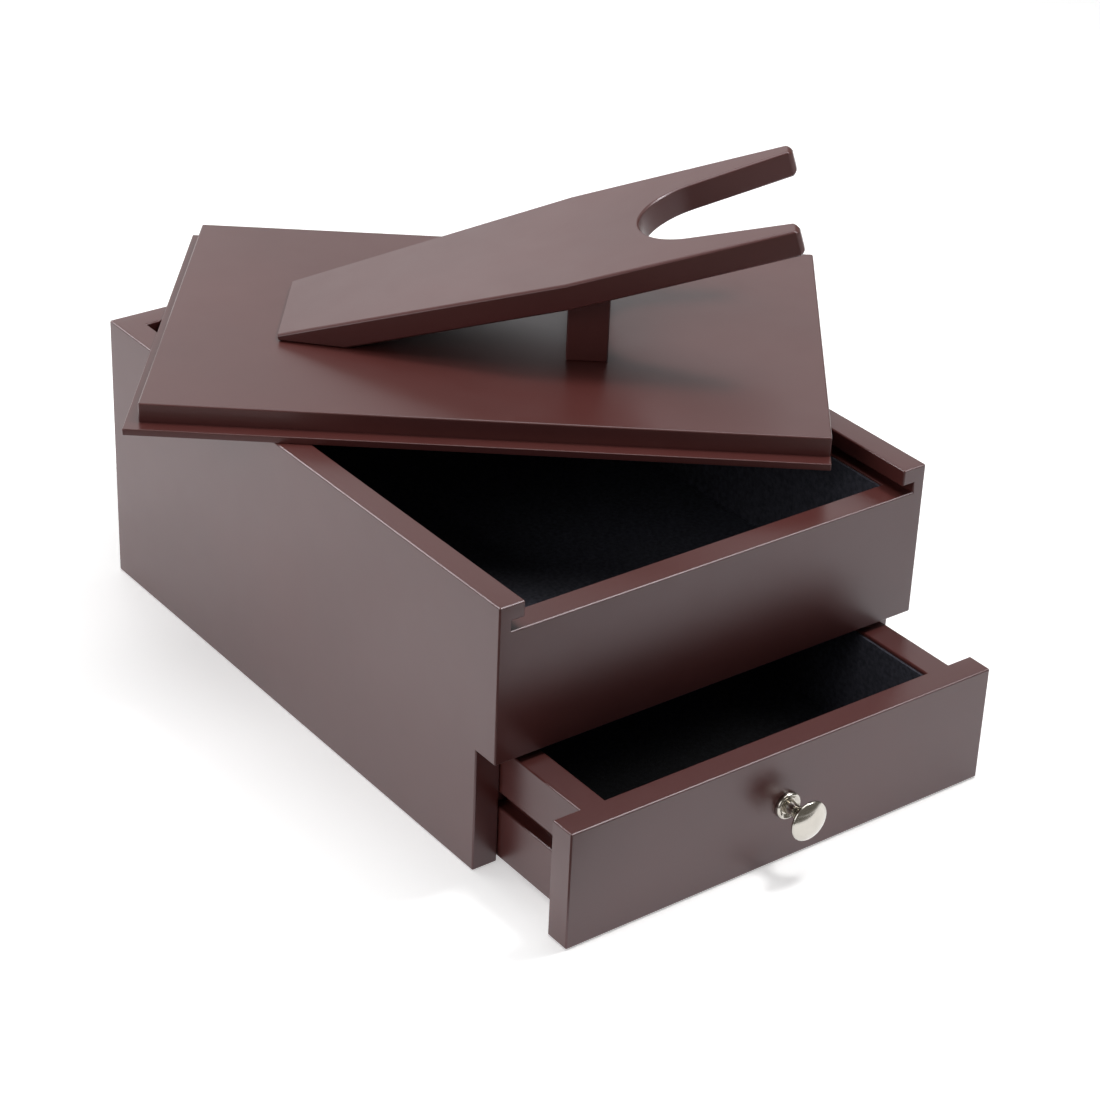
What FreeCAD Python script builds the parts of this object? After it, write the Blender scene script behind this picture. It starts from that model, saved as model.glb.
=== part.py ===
# Shoe shine box: a case with a drawer in its front end, a lid that slides in grooves and
# is taken off here, and a sloping forked footrest on the lid.
# Millimetres. X runs across the case, Y from its front to its back and Z up. The origin is
# the middle of the case's bottom edge at the back. The drawer stands partly open and the
# lid lies turned on the case's rim.
import FreeCAD, Part
import math
import os
import re

import Sketcher

driving = {
    # case
    "case_width": 268,
    "case_length": 370,
    "case_height": 158,
    "case_board": 15,
    "bay_height": 70.5,
    "floor_lift": 1.5,
    "floor_board": 3,
    "housing_depth": 5,
    # grooves for the lid, measured from the case's top and from its inner faces
    "lid_recess": 14.5,
    "groove_height": 5.5,
    "groove_depth": 7.5,
    # felt in the upper compartment; its walls stop short of the lid's grooves
    "case_felt_floor": 1,
    "case_felt_wall": 1.3,
    "case_felt_drop": 1,
    # runners, screwed to the case's sides
    "runner_depth": 7,
    "runner_height": 7.8,
    "runner_level": 36.25,
    "runner_front_gap": 4.3,
    "runner_back_gap": 20,
    "runner_screw_end": 30,
    "runner_screw_width": 3,
    "runner_screw_head": 6,
    "runner_screw_length": 16,
    # drawer
    "drawer_open": 61.5,
    "drawer_gap": 0.7,
    "drawer_play": 0.4,
    "runner_play": 0.35,
    "drawer_front_board": 15,
    "drawer_side_board": 15.5,
    "drawer_back_board": 15,
    "drawer_bottom_board": 5,
    "bottom_housing": 5,
    "front_lift": 0.5,
    "drawer_lift": 2.5,
    "drawer_top": 67,
    "drawer_side_length": 330,
    "drawer_felt_floor": 1.2,
    "drawer_felt_wall": 1.4,
    "drawer_felt_drop": 2,
    # knob, heights measured from the drawer front's face
    "rosette_width": 15,
    "rosette_height": 3,
    "rosette_shoulder": 1.6,
    "rosette_ring_width": 12.6,
    "rosette_bulge": 0.3,
    "dish_width": 9.2,
    "dish_height": 1.4,
    "knob_width": 22,
    "knob_reach": 21,
    "knob_dome": 3,
    "knob_rim": 1.9,
    "knob_rim_bulge": 0.5,
    "knob_base_width": 8.2,
    "knob_waist_width": 6.5,
    "knob_waist_level": 6,
    "knob_screw_width": 4,
    "knob_screw_length": 21,
    "knob_screw_play": 0.4,
    "knob_screw_head": 8,
    "knob_screw_head_height": 2.6,
    "knob_screw_head_top": 6.4,
    "knob_screw_head_round": 1,
    "counterbore_depth": 3,
    # lid
    "tongue": 3.8,
    "lid_side_play": 1.75,
    "lid_end_play": 1.5,
    "rim_side_play": 2.75,
    "rim_end_play": 1,
    "lid_angle": 51.5,
    "lid_across": 23.5,
    "lid_forward": 139.5,
    "lid_screw_width": 3.5,
    "lid_screw_head": 7,
    "lid_screw_length": 25,
    "lid_screw_spread": 50,
    # footrest and its post
    "slope_angle": 17.5,
    "footrest_board": 15,
    "footrest_length": 284,
    "toe_width": 71,
    "toe_edge": 3.8,
    "toe_reach": 112,
    "toe_screw_reach": 82,
    "fork_width": 120,
    "taper_length": 160,
    "notch_width": 73,
    "notch_start": 198.3,
    "notch_flare_angle": 13.5,
    "fork_round": 3.5,
    "post_width": 83,
    "post_board": 22.4,
    "post_reach": 42.3,
    # fasteners
    "dowel_width": 6,
    "dowel_length": 24,
    "dowel_short": 10,
    "dowel_edge": 15,
    "drawer_dowel_edge": 14,
    "back_dowel_low": 30,
    "back_dowel_high": 110,
    "post_dowel_spread": 50,
    "screw_sink": 0.3,
    "fastener_play": 0.1,
    "fastener_end_play": 0.5,
}

hands = (("left", -1), ("right", 1))
turn_out = "rotation(vector(1; 0; 0); 90)"
tool_margin = "5"
edge_tolerance = 0.01

# places that several pieces share
inner = "(case_width / 2 - case_board)"
groove_floor = "(case_height - lid_recess)"
floor_low = "(bay_height + floor_lift)"
recess = "(drawer_front_board + drawer_gap)"
case_dowels = (
    ("(case_board / 2 - case_length)", "(bay_height + dowel_edge)"),
    ("(case_board / 2 - case_length)", f"({groove_floor} - dowel_edge)"),
    ("(-case_board / 2)", "back_dowel_low"),
    ("(-case_board / 2)", "back_dowel_high"),
)
runner_front = f"({recess} + runner_front_gap - case_length)"
runner_back = "(-case_board - runner_back_gap)"
runner_screws = (
    f"({runner_front} + runner_screw_end)",
    f"(({runner_front} + {runner_back}) / 2)",
    f"({runner_back} - runner_screw_end)",
)
drawer_face = "(-case_length - drawer_open)"
drawer_outer = f"({inner} - drawer_play)"
drawer_inner = f"({drawer_outer} - drawer_side_board)"
drawer_floor = "(drawer_lift + drawer_bottom_board)"
drawer_back_start = "(drawer_front_board + drawer_side_length - drawer_back_board)"
drawer_dowel_levels = ("(drawer_lift + drawer_dowel_edge)", "(drawer_top - drawer_dowel_edge)")
drawer_side_middle = f"(({drawer_inner} + {drawer_outer}) / 2)"
knob_level = "((front_lift + drawer_top) / 2)"
knob_screw_start = "(drawer_front_board - counterbore_depth)"
lid_length = "(case_length - case_board + groove_depth - lid_end_play)"
post_middle = "(-post_reach - post_board / 2)"
dowel_long = "(dowel_length - dowel_short)"
dowel_hole = "(dowel_width + fastener_play)"

doc = FreeCAD.newDocument("shoe_shine_box")
sheet = doc.addObject("Spreadsheet::Sheet", "sizes")
for row, (alias, size) in enumerate(driving.items(), start=1):
    sheet.set(f"A{row}", alias)
    sheet.set(f"B{row}", str(size))
    sheet.setAlias(f"B{row}", alias)
doc.recompute()
nodes = []


# Expressions name the sheet's cells by their aliases alone; this puts the sheet before them.
def bind(text):
    return re.sub(r"[a-z_]+", lambda word: f"sizes.{word[0]}" if word[0] in driving else word[0], text)


def value(text):
    return float(sheet.evalExpression(bind(text)))


def place(x="0", y="0", z="0", turn="rotation(vector(0; 0; 1); 0)"):
    return f"placement(vector({x}; {y}; {z}); {turn})"


def new_body(name, where, kept=True):
    owner = doc.addObject("PartDesign::Body", name)
    owner.Label = name
    owner.setExpression("Placement", bind(where))
    if kept:
        nodes.append(owner)
    return owner


def block(name, low, size):
    made = doc.addObject("Part::Box", name)
    made.Label = name
    for side, length in zip(("Length", "Width", "Height"), size):
        made.setExpression(side, bind(length))
    made.setExpression("Placement", bind(place(*low)))
    nodes.append(made)


def group(name, members):
    made = doc.addObject("Part::Compound", name)
    made.Label = name
    made.Links = members
    nodes.append(made)


def new_sketch(owner, role, offset=None):
    sketch = owner.newObject("Sketcher::SketchObject", f"{owner.Name}_sketch")
    plane = next(item for item in owner.Origin.OriginFeatures if item.Role == role)
    sketch.AttachmentSupport = [(plane, "")]
    sketch.MapMode = "FlatFace"
    if offset:
        sketch.setExpression("AttachmentOffset", bind(offset))
    return sketch


# Holds one point of a sketch at a distance from the sketch's origin.
def pin(sketch, geometry, end, x, y):
    for kind, text, axis in (("DistanceX", x, -2), ("DistanceY", y, -1)):
        if text == "0":
            sketch.addConstraint(Sketcher.Constraint("PointOnObject", geometry, end, axis))
        else:
            index = sketch.addConstraint(Sketcher.Constraint(kind, -1, 1, geometry, end, value(text)))
            sketch.setExpression(f"Constraints[{index}]", bind(text))


# A closed outline through the corners. The side after a corner named in arcs is an arc of
# that radius, with its centre on the left of the way round, or on the right if it is negative.
def outline(owner, role, corners, arcs=None, offset=None):
    sketch = new_sketch(owner, role, offset)
    arcs = arcs or {}
    spots = [FreeCAD.Vector(value(x), value(y), 0) for x, y in corners]
    ends = []
    for index, start in enumerate(spots):
        stop = spots[(index + 1) % len(spots)]
        if index not in arcs:
            sketch.addGeometry(Part.LineSegment(start, stop), False)
            ends.append((1, 2))
            continue
        radius = value(arcs[index])
        along = stop - start
        left = FreeCAD.Vector(-along.y, along.x, 0).normalize() * math.copysign(1, radius)
        centre = (start + stop) / 2 + left * math.sqrt(radius ** 2 - along.Length ** 2 / 4)
        first, last = (start, stop) if radius > 0 else (stop, start)
        angles = [math.atan2(spot.y - centre.y, spot.x - centre.x) for spot in (first, last)]
        circle = Part.Circle(centre, FreeCAD.Vector(0, 0, 1), abs(radius))
        sketch.addGeometry(Part.ArcOfCircle(circle, *angles), False)
        ends.append((1, 2) if radius > 0 else (2, 1))
        size = sketch.addConstraint(Sketcher.Constraint("Radius", index, abs(radius)))
        sketch.setExpression(f"Constraints[{size}]", bind(f"abs({arcs[index]})"))
    for index, (x, y) in enumerate(corners):
        sketch.addConstraint(Sketcher.Constraint("Coincident", index - 1 if index else len(corners) - 1,
                                                 ends[index - 1][1], index, ends[index][0]))
        pin(sketch, index, ends[index][0], x, y)
    return sketch


def rectangle(owner, role, low, high, offset=None):
    corners = (low, (high[0], low[1]), high, (low[0], high[1]))
    return outline(owner, role, corners, offset=offset)


def circles(owner, role, centres, width, offset=None):
    sketch = new_sketch(owner, role, offset)
    for index, (x, y) in enumerate(centres):
        middle = FreeCAD.Vector(value(x), value(y), 0)
        sketch.addGeometry(Part.Circle(middle, FreeCAD.Vector(0, 0, 1), value(width) / 2), False)
        pin(sketch, index, 3, x, y)
        size = sketch.addConstraint(Sketcher.Constraint("Diameter", index, value(width)))
        sketch.setExpression(f"Constraints[{size}]", bind(width))
    return sketch


def pad(owner, sketch, length, reverse=False, both=False):
    feature = owner.newObject("PartDesign::Pad", f"{owner.Name}_pad")
    feature.Profile = sketch
    feature.setExpression("Length", bind(length))
    feature.SideType = "Symmetric" if both else "One side"
    feature.Reversed = reverse
    doc.recompute()


def check_cut(owner, feature, before):
    doc.recompute()
    if not owner.Shape.Volume < before:
        raise RuntimeError(f"{feature.Name} cuts nothing")


# A pocket cuts against its sketch's normal, and along it where reverse is set.
def pocket(owner, sketch, depth, reverse=False, both=False):
    before = owner.Shape.Volume
    feature = owner.newObject("PartDesign::Pocket", f"{owner.Name}_pocket")
    feature.Profile = sketch
    feature.setExpression("Length", bind(depth))
    feature.SideType = "Symmetric" if both else "One side"
    feature.Reversed = reverse
    check_cut(owner, feature, before)


def hole(owner, sketch, width, cut, cut_width, cut_depth=None, reverse=False):
    before = owner.Shape.Volume
    doc.recompute()
    feature = owner.newObject("PartDesign::Hole", f"{owner.Name}_hole")
    feature.Profile = sketch
    feature.ThreadType = "None"
    feature.setExpression("Diameter", bind(width))
    feature.DepthType = "ThroughAll"
    feature.HoleCutType = cut
    feature.HoleCutCustomValues = True
    feature.setExpression("HoleCutDiameter", bind(cut_width))
    if cut_depth:
        feature.setExpression("HoleCutDepth", bind(cut_depth))
    feature.Reversed = reverse
    check_cut(owner, feature, before)


def turned(owner, corners, arcs=None):
    sketch = outline(owner, "XZ_Plane", corners, arcs)
    feature = owner.newObject("PartDesign::Revolution", f"{owner.Name}_turned")
    feature.Profile = sketch
    feature.ReferenceAxis = (sketch, ["V_Axis"])
    feature.Angle = 360
    doc.recompute()


def dowel(name, where):
    made = doc.addObject("Part::Cylinder", name)
    made.Label = name
    made.setExpression("Radius", bind("dowel_width / 2"))
    made.setExpression("Height", bind("dowel_length"))
    made.setExpression("Placement", bind(where))
    return made


# A countersunk wood screw along its own Z, from the head's flat top at 0 to the tip.
def wood_screw(name, width, head, length):
    screw = new_body(name, place(), kept=False)
    turned(screw, (
        ("0", "0"),
        (f"{head} / 2", "0"),
        (f"{width} / 2", f"({head} - {width}) / 2"),
        (f"{width} / 2", f"{length} - {width}"),
        ("0", length),
    ))
    return screw


def copy_of(source, name, where):
    link = doc.addObject("App::Link", name)
    link.Label = name
    link.LinkedObject = source
    link.setExpression("Placement", bind(where))
    return link


# case

def side_board(hand, sign):
    board = new_body(f"{hand}_side", place(x=f"{sign} * {inner}"))
    pad(board, outline(board, "YZ_Plane", (
        ("0", "0"),
        ("0", "case_height"),
        ("-case_length", "case_height"),
        ("-case_length", "bay_height"),
        (f"{recess} - case_length", "bay_height"),
        (f"{recess} - case_length", "0"),
    )), "case_board", reverse=sign < 0)
    lid_groove = rectangle(board, "YZ_Plane", ("-case_length", groove_floor),
                           ("groove_depth - case_board", f"{groove_floor} + groove_height"))
    pocket(board, lid_groove, "groove_depth", reverse=sign > 0)
    floor_housing = rectangle(board, "YZ_Plane", ("case_board - housing_depth - case_length", floor_low),
                              ("housing_depth - case_board", f"{floor_low} + floor_board"))
    pocket(board, floor_housing, "housing_depth", reverse=sign > 0)
    dowel_holes = circles(board, "YZ_Plane", case_dowels, dowel_hole)
    pocket(board, dowel_holes, "dowel_short + fastener_end_play", reverse=sign > 0)
    screw_holes = circles(board, "YZ_Plane", [(y, "runner_level") for y in runner_screws],
                          "runner_screw_width + fastener_play")
    pocket(board, screw_holes, "runner_screw_length + screw_sink + fastener_end_play - runner_depth",
           reverse=sign > 0)


def dowel_holes_in_ends(board, centres, half_length):
    for sign in (-1, 1):
        sketch = circles(board, "YZ_Plane", centres, dowel_hole, offset=place(z=f"{sign} * {half_length}"))
        pocket(board, sketch, f"{dowel_long} + fastener_end_play", reverse=sign < 0)


def front_panel():
    panel = new_body("front_panel", place(y="-case_length"))
    pad(panel, outline(panel, "YZ_Plane", (
        ("0", "bay_height"),
        ("case_board", "bay_height"),
        ("case_board", floor_low),
        ("case_board - housing_depth", floor_low),
        ("case_board - housing_depth", f"{floor_low} + floor_board"),
        ("case_board", f"{floor_low} + floor_board"),
        ("case_board", groove_floor),
        ("0", groove_floor),
    )), f"2 * {inner}", both=True)
    centres = [(f"{y} + case_length", z) for y, z in case_dowels[:2]]
    dowel_holes_in_ends(panel, centres, inner)


def back_board():
    board = new_body("back_board", place())
    pad(board, outline(board, "YZ_Plane", (
        ("0", "0"),
        ("0", "case_height"),
        ("-case_board", "case_height"),
        ("-case_board", f"{groove_floor} + groove_height"),
        ("groove_depth - case_board", f"{groove_floor} + groove_height"),
        ("groove_depth - case_board", groove_floor),
        ("-case_board", groove_floor),
        ("-case_board", f"{floor_low} + floor_board"),
        ("housing_depth - case_board", f"{floor_low} + floor_board"),
        ("housing_depth - case_board", floor_low),
        ("-case_board", floor_low),
        ("-case_board", "0"),
    )), f"2 * {inner}", both=True)
    dowel_holes_in_ends(board, case_dowels[2:], inner)


# Felt on the floor and up the four walls of a box-shaped space.
def felt(prefix, half_width, front, length, low, high, sheet_floor, sheet_wall):
    block(f"{prefix}_lining_floor", (f"-{half_width}", front, low),
          (f"2 * {half_width}", length, sheet_floor))
    wall_low = f"({low} + {sheet_floor})"
    height = f"{high} - {wall_low}"
    for hand, start in (("left", f"-{half_width}"), ("right", f"{half_width} - {sheet_wall}")):
        block(f"{prefix}_lining_{hand}", (start, front, wall_low), (sheet_wall, length, height))
    for end, start in (("front", front), ("back", f"{front} + {length} - {sheet_wall}")):
        block(f"{prefix}_lining_{end}", (f"{sheet_wall} - {half_width}", start, wall_low),
              (f"2 * ({half_width} - {sheet_wall})", sheet_wall, height))


def case_floor():
    block("compartment_floor",
          (f"-{inner} - housing_depth", "case_board - housing_depth - case_length", floor_low),
          (f"2 * ({inner} + housing_depth)", "case_length - 2 * (case_board - housing_depth)", "floor_board"))
    felt("compartment", inner, "(case_board - case_length)", "(case_length - 2 * case_board)",
         f"({floor_low} + floor_board)", f"({groove_floor} - case_felt_drop)",
         "case_felt_floor", "case_felt_wall")


def runners():
    screw = wood_screw("runner_screw", "runner_screw_width", "runner_screw_head", "runner_screw_length")
    screws = []
    for hand, sign in hands:
        runner = new_body(f"{hand}_runner", place(x=f"{sign} * ({inner} - runner_depth)"))
        strip = rectangle(runner, "YZ_Plane", (runner_front, "runner_level - runner_height / 2"),
                          (runner_back, "runner_level + runner_height / 2"))
        pad(runner, strip, "runner_depth", reverse=sign < 0)
        centres = circles(runner, "YZ_Plane", [(y, "runner_level") for y in runner_screws],
                          "runner_screw_width")
        hole(runner, centres, "runner_screw_width + fastener_play", "Countersink",
             "runner_screw_head + fastener_play + 2 * screw_sink", reverse=sign > 0)
        for index, y in enumerate(runner_screws):
            where = place(f"{sign} * ({inner} - runner_depth + screw_sink)", y, "runner_level",
                          f"rotation(vector(0; 1; 0); {sign * 90})")
            screws.append(copy_of(screw, f"{hand}_runner_screw_{index}", where))
    group("runner_screws", screws)


def dowels_of_case():
    made = []
    for hand, sign in hands:
        for index, (y, z) in enumerate(case_dowels):
            where = place(f"{sign} * ({inner} + dowel_short)", y, z,
                          f"rotation(vector(0; 1; 0); {-90 * sign})")
            made.append(dowel(f"{hand}_case_dowel_{index}", where))
    group("case_dowels", made)


# drawer, every piece placed from the outer face of its front

def drawer_front():
    board = new_body("drawer_front", place(y=drawer_face))
    face = rectangle(board, "XZ_Plane", ("-case_width / 2", "front_lift"), ("case_width / 2", "drawer_top"))
    pad(board, face, "drawer_front_board", reverse=True)
    groove = rectangle(board, "YZ_Plane", ("drawer_front_board - bottom_housing", "drawer_lift"),
                       ("drawer_front_board", drawer_floor))
    pocket(board, groove, f"2 * ({drawer_inner} + bottom_housing)", both=True)
    back_face = place(z="-drawer_front_board")
    centres = [(f"{sign} * {drawer_side_middle}", z) for _, sign in hands for z in drawer_dowel_levels]
    dowel_holes = circles(board, "XZ_Plane", centres, dowel_hole, back_face)
    pocket(board, dowel_holes, "dowel_short + fastener_end_play", reverse=True)
    screw_hole = circles(board, "XZ_Plane", [("0", knob_level)], "knob_screw_width", back_face)
    hole(board, screw_hole, "knob_screw_width + knob_screw_play", "Counterbore",
         "knob_screw_head + knob_screw_play", "counterbore_depth", reverse=True)


def drawer_side(hand, sign):
    side = new_body(f"drawer_{hand}_side", place(y=f"{drawer_face} + drawer_front_board"))
    runner_low = "runner_level - runner_height / 2 - runner_play"
    runner_high = "runner_level + runner_height / 2 + runner_play"
    section = (
        (f"{drawer_inner} + bottom_housing", "drawer_lift"),
        (drawer_outer, "drawer_lift"),
        (drawer_outer, runner_low),
        (f"{drawer_outer} - runner_depth", runner_low),
        (f"{drawer_outer} - runner_depth", runner_high),
        (drawer_outer, runner_high),
        (drawer_outer, "drawer_top"),
        (drawer_inner, "drawer_top"),
        (drawer_inner, drawer_floor),
        (f"{drawer_inner} + bottom_housing", drawer_floor),
    )
    corners = [(f"{sign} * ({x})", z) for x, z in section]
    pad(side, outline(side, "XZ_Plane", corners), "drawer_side_length", reverse=True)
    front_holes = circles(side, "XZ_Plane",
                          [(f"{sign} * {drawer_side_middle}", z) for z in drawer_dowel_levels], dowel_hole)
    pocket(side, front_holes, f"{dowel_long} + fastener_end_play")
    back_holes = circles(side, "YZ_Plane",
                         [("drawer_side_length - drawer_back_board / 2", z) for z in drawer_dowel_levels],
                         dowel_hole, place(z=f"{sign} * {drawer_inner}"))
    pocket(side, back_holes, "dowel_short + fastener_end_play", reverse=sign > 0)


def drawer_back():
    board = new_body("drawer_back", place(y=f"{drawer_face} + {drawer_back_start}"))
    face = rectangle(board, "XZ_Plane", (f"-{drawer_inner}", drawer_floor), (drawer_inner, "drawer_top"))
    pad(board, face, "drawer_back_board", reverse=True)
    centres = [("drawer_back_board / 2", z) for z in drawer_dowel_levels]
    dowel_holes_in_ends(board, centres, drawer_inner)


def drawer_bottom():
    block("drawer_bottom",
          (f"-{drawer_inner} - bottom_housing", f"{drawer_face} + drawer_front_board - bottom_housing",
           "drawer_lift"),
          (f"2 * ({drawer_inner} + bottom_housing)", "drawer_side_length + bottom_housing",
           "drawer_bottom_board"))
    felt("drawer", drawer_inner, f"({drawer_face} + drawer_front_board)",
         "(drawer_side_length - drawer_back_board)", drawer_floor, "(drawer_top - drawer_felt_drop)",
         "drawer_felt_floor", "drawer_felt_wall")


def dowels_of_drawer():
    made = []
    for hand, sign in hands:
        for index, z in enumerate(drawer_dowel_levels):
            front = place(f"{sign} * {drawer_side_middle}",
                          f"{drawer_face} + drawer_front_board + {dowel_long}", z, turn_out)
            made.append(dowel(f"{hand}_front_dowel_{index}", front))
            back = place(f"{sign} * ({drawer_inner} + dowel_short)",
                         f"{drawer_face} + {drawer_back_start} + drawer_back_board / 2", z,
                         f"rotation(vector(0; 1; 0); {-90 * sign})")
            made.append(dowel(f"{hand}_back_dowel_{index}", back))
    group("drawer_dowels", made)


def arc_radius(chord, rise):
    return f"({chord} ^ 2 / 4 + {rise} ^ 2) / (2 * {rise})"


# The hollow between the knob's waist and its head leaves the waist straight outward.
def knob():
    bore = "(knob_screw_width + fastener_play) / 2"
    loose_bore = "(knob_screw_width + knob_screw_play) / 2"
    on_face = place("0", drawer_face, knob_level, turn_out)
    shoulder_in = "((rosette_width - rosette_ring_width) / 2)"
    shoulder_up = "(rosette_height - rosette_shoulder)"

    rosette = new_body("knob_rosette", on_face)
    turned(rosette, (
        (loose_bore, "0"),
        ("rosette_width / 2", "0"),
        ("rosette_width / 2", "rosette_shoulder"),
        ("rosette_ring_width / 2", "rosette_height"),
        ("dish_width / 2", "dish_height"),
        (loose_bore, "dish_height"),
    ), {2: arc_radius(f"sqrt({shoulder_in} ^ 2 + {shoulder_up} ^ 2)", "rosette_bulge")})

    rim_low = "(knob_reach - knob_dome - knob_rim)"
    head_half = "(knob_width / 2 - knob_rim_bulge)"
    waist_in = f"({head_half} - knob_waist_width / 2)"
    waist_up = f"({rim_low} - knob_waist_level)"
    head = new_body("knob", on_face)
    turned(head, (
        (bore, "dish_height"),
        ("knob_base_width / 2", "dish_height"),
        ("knob_waist_width / 2", "knob_waist_level"),
        (head_half, rim_low),
        (head_half, "knob_reach - knob_dome"),
        ("0", "knob_reach"),
        ("0", f"knob_screw_length - {knob_screw_start} + fastener_end_play"),
        (bore, f"knob_screw_length - {knob_screw_start} + fastener_end_play"),
    ), {
        2: f"-({waist_in} ^ 2 + {waist_up} ^ 2) / (2 * {waist_in})",
        3: arc_radius("knob_rim", "knob_rim_bulge"),
        4: arc_radius(f"(2 * {head_half})", "knob_dome"),
    })

    screw = new_body("knob_screw", place("0", f"{drawer_face} + {knob_screw_start}", knob_level, turn_out))
    turned(screw, (
        ("0", "-knob_screw_head_height"),
        ("knob_screw_head_top / 2", "-knob_screw_head_height"),
        ("knob_screw_head / 2", "knob_screw_head_round - knob_screw_head_height"),
        ("knob_screw_head / 2", "0"),
        ("knob_screw_width / 2", "0"),
        ("knob_screw_width / 2", "knob_screw_length"),
        ("0", "knob_screw_length"),
    ))


# lid, every piece placed from the middle of the lid's underside

def lid_board():
    lid = new_body("lid_board", place("lid_across", "-lid_forward", "case_height",
                                      "rotation(vector(0; 0; 1); lid_angle)"))
    tongue_half = f"({inner} + groove_depth - lid_side_play)"
    board_half = f"({inner} - rim_side_play)"
    board_back = f"(case_length - case_board - rim_end_play - {lid_length} / 2)"
    tongue = rectangle(lid, "XY_Plane", (f"-{tongue_half}", f"-{lid_length} / 2"),
                       (tongue_half, f"{lid_length} / 2"))
    pad(lid, tongue, "tongue")
    board = rectangle(lid, "XY_Plane", (f"-{board_half}", f"-{lid_length} / 2"), (board_half, board_back),
                      place(z="tongue"))
    pad(lid, board, "lid_recess - tongue")
    screw_holes = circles(lid, "XY_Plane", lid_screw_places(), "lid_screw_width")
    hole(lid, screw_holes, "lid_screw_width + fastener_play", "Countersink",
         "lid_screw_head + fastener_play + 2 * screw_sink", reverse=True)


def lid_screw_places():
    reaches = ("toe_screw_reach", post_middle)
    return [(f"{sign} * lid_screw_spread / 2", y) for _, sign in hands for y in reaches]


def lid_screws():
    screw = wood_screw("lid_screw", "lid_screw_width", "lid_screw_head", "lid_screw_length")
    group("lid_screws", [
        copy_of(screw, f"lid_screw_{index}", f"lid_board.Placement * {place(x, y, 'screw_sink')}")
        for index, (x, y) in enumerate(lid_screw_places())
    ])


screw_in_wood = "lid_screw_length + screw_sink + fastener_end_play - lid_recess"
lid_screw_hole = "lid_screw_width + fastener_play"
post_dowel_sides = [f"{sign} * post_dowel_spread / 2" for _, sign in hands]


# The board's own frame lies on its underside: Y runs up the slope from the toe.
def footrest():
    start = place("0", "toe_reach - footrest_board * sin(slope_angle)",
                  "lid_recess + toe_edge - footrest_board * cos(slope_angle)",
                  "rotation(vector(0; 0; 1); 180) * rotation(vector(1; 0; 0); slope_angle)")
    board = new_body("footrest", f"lid_board.Placement * {start}")
    pad(board, outline(board, "XY_Plane", (
        ("-toe_width / 2", "0"),
        ("toe_width / 2", "0"),
        ("fork_width / 2", "taper_length"),
        ("fork_width / 2", "footrest_length"),
        ("-fork_width / 2", "footrest_length"),
        ("-fork_width / 2", "taper_length"),
    )), "footrest_board")

    heel = "(footrest_board - toe_edge / cos(slope_angle))"
    toe_cut = outline(board, "YZ_Plane", (
        (f"-{tool_margin}", f"-{tool_margin}"),
        (f"({heel} + {tool_margin}) / tan(slope_angle)", f"-{tool_margin}"),
        (f"-{tool_margin}", f"{heel} + {tool_margin} * tan(slope_angle)"),
    ))
    pocket(board, toe_cut, "2 * fork_width", both=True)

    centre = "(notch_start + notch_width / 2)"
    tangent_x = "(notch_width / 2 * cos(notch_flare_angle))"
    tangent_y = f"({centre} - notch_width / 2 * sin(notch_flare_angle))"
    far_y = f"(footrest_length + {tool_margin})"
    far_x = f"({tangent_x} + ({far_y} - {tangent_y}) * tan(notch_flare_angle))"
    notch = outline(board, "XY_Plane", (
        (far_x, far_y),
        (f"-{far_x}", far_y),
        (f"-{tangent_x}", tangent_y),
        (tangent_x, tangent_y),
    ), {2: "notch_width / 2"})
    pocket(board, notch, "footrest_board", reverse=True)

    upright = "rotation(vector(1; 0; 0); -slope_angle)"
    behind_toe = "(toe_reach - toe_screw_reach)"
    screw_plane = place("0", f"{behind_toe} * cos(slope_angle) - toe_edge * sin(slope_angle)",
                        f"footrest_board - {behind_toe} * sin(slope_angle) - toe_edge * cos(slope_angle)",
                        upright)
    sides = [(f"{sign} * lid_screw_spread / 2", "0") for _, sign in hands]
    screw_holes = circles(board, "XY_Plane", sides, lid_screw_hole, screw_plane)
    pocket(board, screw_holes, screw_in_wood, reverse=True)
    dowel_centres = [(x, post_dowel_place()) for x in post_dowel_sides]
    dowel_holes = circles(board, "XY_Plane", dowel_centres, dowel_hole)
    pocket(board, dowel_holes, "dowel_short + fastener_end_play", reverse=True)
    round_fork(board)


# Where the post's middle meets the footrest's underside, up the slope from the toe.
def post_dowel_place():
    return f"((toe_reach - footrest_board * sin(slope_angle) - {post_middle}) / cos(slope_angle))"


# The fork's top edges are rounded, from where its sides run parallel to its tips.
def round_fork(board):
    top = value("footrest_board")
    start = value("taper_length")
    base = board.Tip
    names = []
    for index, edge in enumerate(base.Shape.Edges, start=1):
        box = edge.BoundBox
        if box.ZMin > top - edge_tolerance and box.YMin > start - edge_tolerance:
            names.append(f"Edge{index}")
    before = board.Shape.Volume
    feature = board.newObject("PartDesign::Fillet", "footrest_round")
    feature.Base = (base, names)
    feature.setExpression("Radius", bind("fork_round"))
    check_cut(board, feature, before)


def post_top(y):
    rise = f"((toe_reach - {y}) * tan(slope_angle))"
    return f"(lid_recess + toe_edge + {rise} - footrest_board / cos(slope_angle))"


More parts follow.
